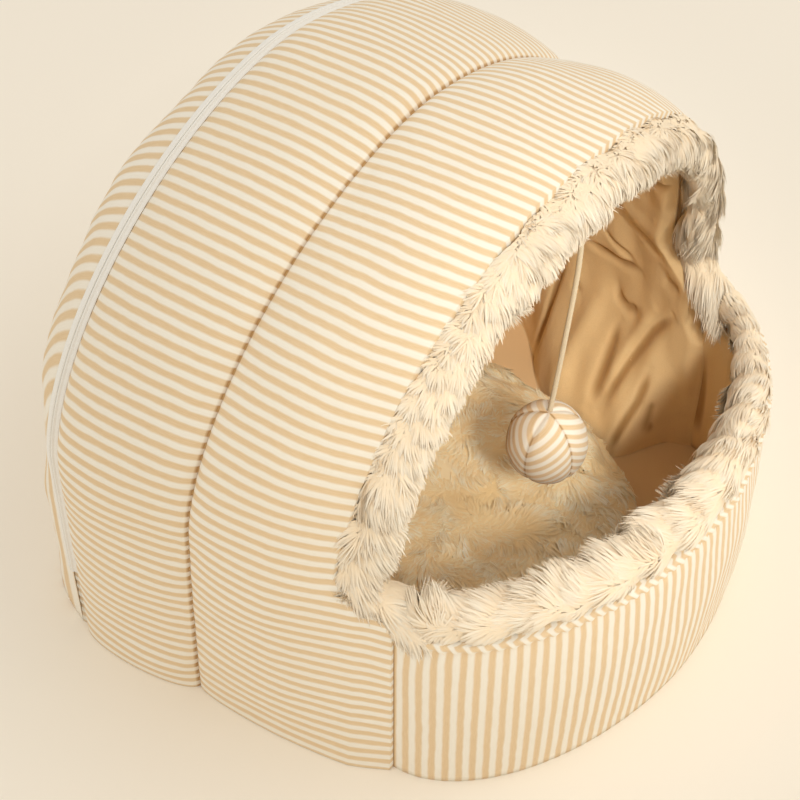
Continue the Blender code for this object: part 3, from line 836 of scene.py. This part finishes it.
def make_roof_lining():
    """Lining of the roof, with finer rows on the right, where the mouth shows it."""
    left, right = np.linspace(0, 500, 84).astype(int), np.linspace(500, 1000, 300).astype(int)
    u = even_run(1001)[np.concatenate([left, right[1:]])]
    front = front_y(u) + LINING_SHY - 0.008 * smooth_step((0.15 - arch_height(u)) / 0.02)
    rear = rear_y(arch_height(u)) - GAP / 2
    across = np.linspace(0, 1, 104)[::-1]
    y = rear[:, None] + (front - rear)[:, None] * across
    uu = np.broadcast_to(u[:, None], y.shape)
    base = arch(uu, y, -(WALL + GAP + LINING), FLOOR_Z)
    edges = smooth_step((1 - across) / 0.05) * smooth_step(across / 0.05)
    relief, creases = roof_folds(base, uu, y)
    fold = (0.0055 + 0.0055 * np.tanh(relief / 0.0055)) * edges
    seam = line_distance(uu * RUN_LENGTH, y, [(a * RUN_LENGTH, b) for a, b in ROOF_LINING_SEAM])[0]
    fold = fold - 0.0024 * np.exp(-(seam / 0.0022) ** 2) * edges

    def faces_at(inset):
        walls = arch(uu, y, -inset, FLOOR_Z)
        return arch(uu, y, -(inset + fold + roof_sag(walls, uu)), FLOOR_Z)

    # The creases' depth and the seam's distance set painted shade in the lining's cloth.
    values = {"seam": seam, "fold": -creases * edges}
    lining_sheet("roof_lining", faces_at, values, "lining_roof", hidden_step=3)


def make_back_lining():
    """Lining of the dome, cut off at the floor."""
    base, a, b = dome(84, 60, WALL + GAP + LINING)
    side = np.minimum(1 - np.abs(a), 1 - b)
    n = -normals_of(base, DOME_MIDDLE)
    rise = 0.0016 + 0.0014 * waves(base, 0.055, 51) + 0.0006 * waves(base, 0.02, 52)
    rise = n * (rise * smooth_step(side / 0.12))[..., None]

    def faces_at(inset):
        grid = dome(84, 60, inset)[0] + rise
        share = (FLOOR_Z - grid[:, :1, 2:]) / (grid[:, 1:2, 2:] - grid[:, :1, 2:])
        grid[..., 2] = np.maximum(grid[..., 2], FLOOR_Z + 0 * share[..., 0])
        return grid[::-1]

    values = {"seam": 0 * side + 1.0, "fold": 0 * side}
    lining_sheet("back_lining", faces_at, values, "lining_back")


def make_lip_lining():
    """Lining of the lip's inner face, in soft upright waves."""
    angle = even_lip(150)[0]
    s = np.linspace(0, 1, 24)
    high = LIP_HEIGHT - LINING_DROP
    base = lip_plan(angle[:, None], WALL + GAP + LINING + 0 * s)
    base[..., 2] = FLOOR_Z + (high - FLOOR_Z) * s
    wave = waves(base * (1, 1, 0.25), 0.03, 61)
    # Painted shade: the troughs of the waves, carried as "fold", darken the cloth.
    fold = np.maximum(-wave, 0) * 0.003
    rise = (0.003 + 0.0024 * wave) * smooth_step(np.sin(angle) / 0.04)[:, None]
    rise = rise * smooth_step(s / 0.1) * smooth_step((1 - s) / 0.1)

    def faces_at(inset):
        grid = lip_plan(angle[:, None], inset + rise)
        grid[..., 2] = base[..., 2]
        return grid[::-1]

    values = {"seam": 0 * rise + 1.0, "fold": fold}
    lining_sheet("lip_lining", faces_at, values, "lining_lip")


make_roof_lining()
make_back_lining()
make_lip_lining()


# Plush

def scatter(grid, count, draw, weight=None):
    """Even random places on a grid of points, as fractional rows and columns."""
    a, b, c = grid[:-1, :-1], grid[1:, :-1], grid[:-1, 1:]
    area = np.linalg.norm(np.cross(b - a, c - a), axis=-1)
    if weight is not None:
        area = area * weight[:-1, :-1]
    total = np.cumsum(area.ravel())
    pick = np.searchsorted(total, draw.uniform(0, total[-1], count))
    i, j = np.unravel_index(np.minimum(pick, area.size - 1), area.shape)
    return i + draw.uniform(0, 1, count), j + draw.uniform(0, 1, count)


def sample(grid, i, j):
    """Value of a grid between its points."""
    i0 = np.clip(i.astype(int), 0, grid.shape[0] - 2)
    j0 = np.clip(j.astype(int), 0, grid.shape[1] - 2)
    s, t = i - i0, j - j0
    if grid.ndim == 3:
        s, t = s[:, None], t[:, None]
    return ((1 - s) * (1 - t) * grid[i0, j0] + s * (1 - t) * grid[i0 + 1, j0]
            + (1 - s) * t * grid[i0, j0 + 1] + s * t * grid[i0 + 1, j0 + 1])


def tree_of(points):
    """Search tree of the points."""
    tree = KDTree(len(points))
    for i, p in enumerate(points):
        tree.insert(p, i)
    tree.balance()
    return tree


def locks_of(roots, count, draw):
    """For each root, the index of the nearest of some roots that lead a lock each."""
    leads = draw.choice(len(roots), count, replace=False)
    tree = tree_of(roots[leads])
    return np.array([leads[tree.find(p)[1]] for p in roots])


def roots_on(grid, normals, count, draw, weight=None):
    """Places of strands on a grid: fractional rows and columns, roots and their normals."""
    i, j = scatter(grid, count, draw, weight)
    return i, j, sample(grid, i, j), unit(sample(normals, i, j))


def drift(points, size, seed):
    """Smooth random directions over the points, not of unit length."""
    return np.stack([waves(points, size, seed + k) for k in range(3)], 1)


def strands(name, roots, normals, ways, lengths, locks, draw, finish, slot, width=0.001,
            segments=5, droop=0.6, hug=0.45, tight=0.38, curl=0.05, deep=0.0):
    """Tapered strands of pile that gather into locks towards their tips.

    droop pulls them down and hug pulls them to the body; deep, from 0 to 1, shows more of the
    roots' colour.
    """
    count = len(roots)
    step = lengths[:, None] / segments
    own, lead = [roots], [roots[locks]]
    way, lead_way = ways.copy(), ways[locks]
    swirl = draw.normal(size=(count, 3))[locks] * curl
    for k in range(segments):
        own.append(own[-1] + way * step)
        lead.append(lead[-1] + lead_way * step)
        pull = DOWN * droop / segments - normals * hug / segments + swirl * (k + 1) / segments
        way, lead_way = unit(way + pull), unit(lead_way + pull[locks])
    rows = [a + (b - a) * tight * (k / segments) ** 1.1 for k, (a, b) in enumerate(zip(own, lead))]
    line = np.stack(rows, 1)
    facing = unit(normals + (0, 0, 0.55) + 0.15 * draw.normal(size=normals.shape))
    side = unit(np.cross(np.gradient(line, axis=1), facing[:, None]))
    taper = (1 - (np.arange(segments + 1) / segments) ** 2.2) * 0.9 + 0.1
    wide = width * draw.uniform(0.7, 1.3, count)[:, None, None] * taper[None, :, None] / 2
    left, right = line - side * wide, line + side * wide
    points = np.concatenate([np.stack([left[:, :-1], right[:, :-1]], 2).reshape(count, -1, 3),
                             line[:, -1:]], 1)
    per = 2 * segments + 1
    start = np.arange(count) * per
    quads = [np.stack([start + 2 * k, start + 2 * k + 1, start + 2 * k + 3, start + 2 * k + 2], 1)
             for k in range(segments - 1)]
    last = start + 2 * (segments - 1)
    faces = np.concatenate(quads).tolist() + np.stack([last, last + 1, last + 2], 1).tolist()
    soft = normals[:, None] + (0, 0, 0.45) + 0.1 * draw.normal(size=(count, 1, 3))
    soft = unit(soft + 0 * side)
    bent = np.stack([unit(soft - ROUND * side)[:, :-1], unit(soft + ROUND * side)[:, :-1]], 2)
    shading = np.concatenate([bent.reshape(count, -1, 3), soft[:, -1:]], 1)
    t = np.concatenate([np.repeat(np.arange(segments) / segments, 2), [1.0]])
    tone = 0.5 + 0.18 * draw.normal(size=count) + 0.25 * draw.normal(size=count)[locks]
    shown = (1 - deep * np.ones(count))[:, None] * t
    values = {"run": shown, "tone": np.repeat(np.clip(tone, 0, 1), per)}
    return add_mesh(name, points, faces, finish, slot, values, normals=shading.reshape(-1, 3))


def smooth_section(section, count):
    """Closed section as a smooth loop of that many points."""
    n = len(section)
    s = np.linspace(0, n, count, endpoint=False)
    k = s.astype(int)
    corners = (section[(k + d) % n] for d in (-1, 0, 1, 2))
    return curve_through(*corners, (s - k)[:, None])


def closed_grid(grid):
    """The grid of loops with each loop's first point again at its end."""
    return np.concatenate([grid, grid[:, :1]], 1)


def lumped(grid, seed, sink=0.0):
    """Grid of loops with soft lumps about a centimetre and more across."""
    n = normals_of(grid, grid.mean(1, keepdims=True))
    rise = 0.0015 * waves(grid, 0.026, seed) + 0.0007 * waves(grid, 0.012, seed + 1)
    return grid + n * (rise - sink)[..., None]


def fur_bed(grid, hidden, share):
    """Closed grid, its normals, and how thickly pile grows: thinly from the hidden column on."""
    weight = np.ones((grid.shape[0], grid.shape[1] + 1))
    weight[:, hidden:] = share
    return closed_grid(grid), closed_grid(normals_of(grid, grid.mean(1, keepdims=True))), weight


def make_body(name, grid, finish, slot, seed, node, flip=False):
    """Soft core under a pile, with the same lumps."""
    body = lumped(grid, seed, 0.0012)
    values = {"run": np.full(grid.shape[:2], 0.45), "tone": np.full(grid.shape[:2], 0.3)}
    faces = closed_roll(*body.shape[:2], flip=flip)
    return add_mesh(name, body, faces, finish, slot, values, replaces=[node])


def flow_along(ways, normals, lift):
    """Directions laid down along the surface, then lifted off it a little."""
    ways = ways - normals * (ways * normals).sum(1, keepdims=True)
    return unit(unit(ways) + normals * lift)


def arch_loops(count, columns, scale):
    """Grid of loops of the plush roll round the arch."""
    u = even_run(count)
    foot = LIP_HEIGHT + GAP
    u = u[arch(u, front_y(u))[:, 2] > foot]
    centre = np.array((-0.0085, 0.0085))
    section = (smooth_section(ARCH_SECTION, columns) - centre) * scale + centre
    y = front_y(u)
    points = arch(u[:, None], y[:, None], section[None, :, 0])
    points[..., 1] = y[:, None] - GAP / 2 - np.maximum(section[None, :, 1], 0)
    points[..., 2] = np.maximum(points[..., 2], foot)
    return points


def make_arch_fur():
    """Plush round the mouth's arch: combed down and forward, its tips hanging into the opening."""
    draw = np.random.default_rng(71)
    body = arch_loops(260, 28, FUR_SCALE)
    make_body("arch_plush", body, ARCH_FUR, "plush", 72, "arch_trim", flip=True)
    columns = 40
    wrapped, n, weight = fur_bed(lumped(arch_loops(800, columns, FUR_SCALE), 72), 35, 0.03)
    for part in range(2):
        _, j, roots, normal = roots_on(wrapped, n, ARCH_STRANDS, draw, weight)
        inward = unit(np.stack([-roots[:, 0], 0 * roots[:, 0], 0.17 - roots[:, 2]], 1))
        outer = smooth_step((0.16 - j / columns) / 0.12)
        ways = 0.8 * DOWN + 0.25 * inward + (0, -0.2, 0) + 0.3 * drift(roots, 0.035, 74)
        ways = ways + outer[:, None] * ((0, 0.75, 0) - 0.7 * inward - 0.45 * DOWN)
        ways = flow_along(ways + 0.1 * draw.normal(size=ways.shape), normal, 0.11)
        leg = smooth_step((0.29 - roots[:, 2]) / 0.1)
        lengths = 0.0115 + 0.0085 * leg - 0.003 * outer
        lengths = lengths * draw.uniform(0.7, 1.2, ARCH_STRANDS)
        locks = locks_of(roots, 900, draw)
        strands(f"arch_pile_{part + 1}", roots, normal, ways, lengths, locks, draw, ARCH_FUR,
                "plush")


def make_lip_fur():
    """Plush along the lip: combed along it towards the right, its inner tips leaning in."""
    draw = np.random.default_rng(81)
    columns = 44
    rows = 260
    angle = even_lip(rows, LIP_FUR_END, math.pi - LIP_FUR_END)[0]
    centre = np.array((-0.0115, 0.006))
    full = 0.42 + 0.4 * smooth_step((math.pi - LIP_TRIM_END - angle) / 0.75)
    full = full * (0.75 + 0.25 * smooth_step((angle - LIP_FUR_END) / 0.15))
    section = (smooth_section(LIP_SECTION, columns) - centre)[None] * full[:, None, None] + centre
    grid = lip_plan(angle[:, None], -section[..., 0])
    grid[..., 2] = LIP_HEIGHT + GAP + section[..., 1]
    make_body("lip_plush", grid[::2, ::2], ARCH_FUR, "plush", 82, "lip_trim")
    wrapped, n, weight = fur_bed(lumped(grid, 82), 34, 0.08)
    i, j, roots, normal = roots_on(wrapped, n, LIP_STRANDS, draw, weight)
    inward = unit((np.array((0, -0.1, LIP_HEIGHT)) - roots) * (1, 1, 0))
    along = unit(np.cross(inward, DOWN))
    noise = drift(roots, 0.04, 84)
    outer = smooth_step((0.2 - j / columns) / 0.14)
    ways = 0.62 * along + 0.42 * inward + 0.38 * noise + 0.55 * outer[:, None] * DOWN
    ways = flow_along(ways + 0.1 * draw.normal(size=ways.shape), normal, 0.11)
    far = smooth_step(i / rows * 6 - 4.4)
    lengths = 0.015 - 0.0065 * outer - 0.0055 * far
    lengths = lengths * draw.uniform(0.75, 1.2, LIP_STRANDS)
    locks = locks_of(roots, 1000, draw)
    strands("lip_pile", roots, normal, ways, lengths, locks, draw, ARCH_FUR, "plush", droop=0.12)


def cushion_grid(rows, columns):
    """Grid of the cushion from the middle of its top down to the middle of its underside."""
    polar = np.linspace(0.001, np.pi - 0.001, rows)[:, None]
    turn = np.linspace(0, 2 * np.pi, columns, endpoint=False)[None, :]
    z = np.cos(polar) + 0 * turn
    wide = (1 - np.abs(z) ** CUSHION_POWER) ** (1 / CUSHION_POWER)
    height = np.sign(z) * np.abs(z) ** CUSHION_CROWN
    x = np.where(np.cos(turn) < 0, CUSHION_LEFT, CUSHION_RIGHT) * wide * np.cos(turn)
    y = CUSHION_Y + CUSHION_DEEP * wide * np.sin(turn)
    half = CUSHION_THICK / 2
    away = np.hypot(x - DIMPLE[0], y - DIMPLE[1]) / DIMPLE_RADIUS
    dimple = DIMPLE_DEPTH * np.exp(-away ** 2) * np.clip(z / CUSHION_BLEND, 0, 1)
    top = FLOOR_Z + half * (1 + height) - dimple
    under = FLOOR_Z + half * (1 + np.maximum(height * CUSHION_SEAT, -1))
    return np.stack([x, y, np.where(z > 0, top, under)], -1)


def filled(points, faces):
    """The points of a closed pad, moved by a cloth simulation of an evenly meshed copy of it."""
    scene = bpy.context.scene
    rough = bpy.data.meshes.new("pad_rough")
    rough.from_pydata(points.reshape(-1, 3).tolist(), [], faces)
    pad = bpy.data.objects.new("pad_copy", rough)
    scene.collection.objects.link(pad)
    remesh = pad.modifiers.new("even", "REMESH")
    remesh.mode = "VOXEL"
    remesh.voxel_size = PAD_VOXEL
    graph = bpy.context.evaluated_depsgraph_get()
    even = bpy.data.meshes.new_from_object(pad.evaluated_get(graph))
    pad.modifiers.clear()
    pad.data = even
    start = np.array([v.co for v in even.vertices])
    cloth = pad.modifiers.new("cloth", "CLOTH")
    cloth.settings.quality = 5
    cloth.settings.mass = 0.3
    cloth.settings.use_pressure = True
    cloth.settings.uniform_pressure_force = PAD_PRESSURE
    cloth.settings.effector_weights.gravity = 0
    cloth.point_cache.frame_start = 1
    cloth.point_cache.frame_end = PAD_STEPS
    for step in range(1, PAD_STEPS + 1):
        scene.frame_set(step)
    blown = pad.evaluated_get(bpy.context.evaluated_depsgraph_get())
    moves = np.array([v.co for v in blown.to_mesh().vertices]) - start
    blown.to_mesh_clear()
    bpy.data.objects.remove(pad)
    bpy.data.meshes.remove(even)
    bpy.data.meshes.remove(rough)
    scene.frame_set(1)
    moves -= moves.mean(0)
    far = np.linalg.norm(moves, axis=1, keepdims=True)
    moves *= np.minimum(1, PAD_CAP / np.maximum(far, 1e-9))
    tree = tree_of(start)
    moved = []
    for p in points.reshape(-1, 3):
        near = [(i, 1 / (d + 0.0005)) for _, i, d in tree.find_n(p, 5)]
        moved.append(p + sum(moves[i] * w for i, w in near) / sum(w for _, w in near))
    return np.array(moved).reshape(points.shape)


def make_cushion():
    """Loose cushion with a short swirling pile."""
    draw = np.random.default_rng(91)
    rows, columns = 76, 140
    grid = cushion_grid(rows, columns)
    middle = np.array((0, CUSHION_Y, 0.03))
    n = normals_of(grid, middle)
    above = smooth_step((grid[..., 2] - 0.02) / 0.015)     # its underside stays flat
    lumps = 0.002 * waves(grid, 0.06, 92) + 0.0012 * waves(grid, 0.026, 93) - 0.006
    grid = grid + n * (lumps * above)[..., None]
    blown = filled(grid, closed_roll(rows, columns))
    grid = grid + (blown - grid) * above[..., None]
    values = {"run": np.full(grid.shape[:2], 0.3), "tone": np.full(grid.shape[:2], 0.3)}
    made = add_mesh("cushion_body", grid, closed_roll(rows, columns), CUSHION_FUR, "cushion_plush",
                    values, replaces=["cushion"])
    shown = slice(0, 44)
    wrapped = closed_grid(grid)[shown]
    n = closed_grid(normals_of(grid, middle))[shown]
    for part in range(2):
        _, _, roots, normal = roots_on(wrapped, n, CUSHION_STRANDS, draw)
        flow = drift(roots, 0.045, 94)
        ways = flow_along(flow + 0.15 * draw.normal(size=flow.shape), normal, 0.15)
        lengths = 0.01 * draw.uniform(0.7, 1.25, CUSHION_STRANDS)
        # Painted shade: the roots' darker colour shows more in a patch left of the dimple, where
        # the ball and dimple cast shade, and by a random amount elsewhere.
        away = np.hypot(roots[:, 0] + 0.012, roots[:, 1] + 0.066)
        deep = 0.3 + 0.3 * waves(roots, 0.03, 97) + 0.55 * np.exp(-(away / 0.026) ** 2)
        locks = locks_of(roots, 1300, draw)
        strands(f"cushion_pile_{part + 1}", roots, normal, ways, lengths, locks, draw, CUSHION_FUR,
                "cushion_plush", width=0.0013, segments=4, droop=0.1, hug=0.35, tight=0.55,
                curl=0.2, deep=np.clip(deep, 0, 0.95))


make_arch_fur()
make_lip_fur()
make_cushion()


# Ball

def make_ball():
    """Stuffed ball sewn from five gores of ticking whose stripes meet in chevrons."""
    rows, columns, gores = 48, 85, 5
    polar = np.linspace(0.002, np.pi - 0.002, rows)[:, None]
    turn = np.linspace(0, 2 * np.pi, columns, endpoint=False)[None, :] + SEAM_ANGLE
    way = np.stack([np.sin(polar) * np.cos(turn), np.sin(polar) * np.sin(turn),
                    np.cos(polar) + 0 * turn], -1)
    gore = (turn - SEAM_ANGLE) / (2 * np.pi) * gores
    sector = gore % 1
    radius = BALL_RADII - 0.0003
    off = np.minimum(sector, 1 - sector) * 2 * np.pi / gores * np.sin(polar) * radius[0]
    dent = 0.0008 * np.exp(-(off / 0.0016) ** 2)
    points = BALL_CENTRE + way * radius - way * dent[..., None]
    points = points + way * (0.0003 * waves(points, 0.02, 101))[..., None]
    lean = np.where((gore + 1e-6).astype(int) % 2 == 0, -1.0, 1.0)
    local = (sector - 0.5) * 2 * np.pi / gores * np.sin(polar) * radius[0]
    stripe = (way[..., 2] * radius[2] * 0.86 + lean * local * 0.6) / BALL_PITCH
    # Painted shade: "seam" darkens the ticking along the dented seams between the gores.
    values = {"stripe": stripe, "along": local, "seam": off + 0.0004}
    made = add_mesh("toy_ball", points, closed_roll(rows, columns), TICKING, "ticking", values,
                    replaces=["ball"])


make_ball()


# Stage

def add_lamp(name, kind, place, target, watts):
    """Soft lamp that points at the target."""
    light = bpy.data.lights.new(name, kind)
    light.energy = watts
    light.color = (1.0, 0.97, 0.92)
    made = bpy.data.objects.new(name, light)
    made.location = place
    made.rotation_euler = (Vector(target) - Vector(place)).to_track_quat("-Z", "Y").to_euler()
    bpy.context.scene.collection.objects.link(made)
    return light


def make_stage():
    """Plain pale floor and plain soft light."""
    mesh = bpy.data.meshes.new("floor")
    size = 6.0
    corners = [(-size, -size, 0), (size, -size, 0), (size, size, 0), (-size, size, 0)]
    mesh.from_pydata(corners, [], [(0, 1, 2, 3)])
    p = Paint("floor_paint", 0.9)
    colour = p.mix(p.noise(p.place(), 3.0), (0.98, 0.9, 0.77), (0.99, 0.92, 0.79))
    mesh.materials.append(p.finish(colour))
    floor = bpy.data.objects.new("floor", mesh)
    floor.location.z = -0.0002
    bpy.context.scene.collection.objects.link(floor)
    world = bpy.data.worlds.new("studio")
    world.use_nodes = True
    background = world.node_tree.nodes["Background"]
    background.inputs["Color"].default_value = (1.0, 0.97, 0.93, 1)
    background.inputs["Strength"].default_value = SKY
    bpy.context.scene.world = world
    add_lamp("key", "AREA", (1.0, -1.3, 2.0), LAMP_TARGET, KEY_WATTS).size = 2.0
    add_lamp("back", "AREA", (-1.7, 0.7, 1.6), LAMP_TARGET, BACK_WATTS).size = 1.6
    mouth = add_lamp("mouth", "SPOT", (-0.69, -0.985, 1.32), (0.075, -0.02, 0.085), SPOT_WATTS)
    mouth.shadow_soft_size = 0.16
    mouth.spot_size = math.radians(13.0)
    mouth.spot_blend = 1.0


make_stage()


def base_cloth():
    """Cloth of the floor, like the lining's but with no seams."""
    p = Paint("base_cloth", 0.75, 0.1)
    place = p.place()
    colour = p.mix(p.noise(place, 14, 3.0), (0.8, 0.55, 0.28), (0.88, 0.63, 0.35))
    return p.finish(colour, p.bump(p.noise(place, 1300), 0.0001, 0.6))


base_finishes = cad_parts["base_panel"].data.materials
base_finishes.clear()
base_finishes.append(base_cloth())
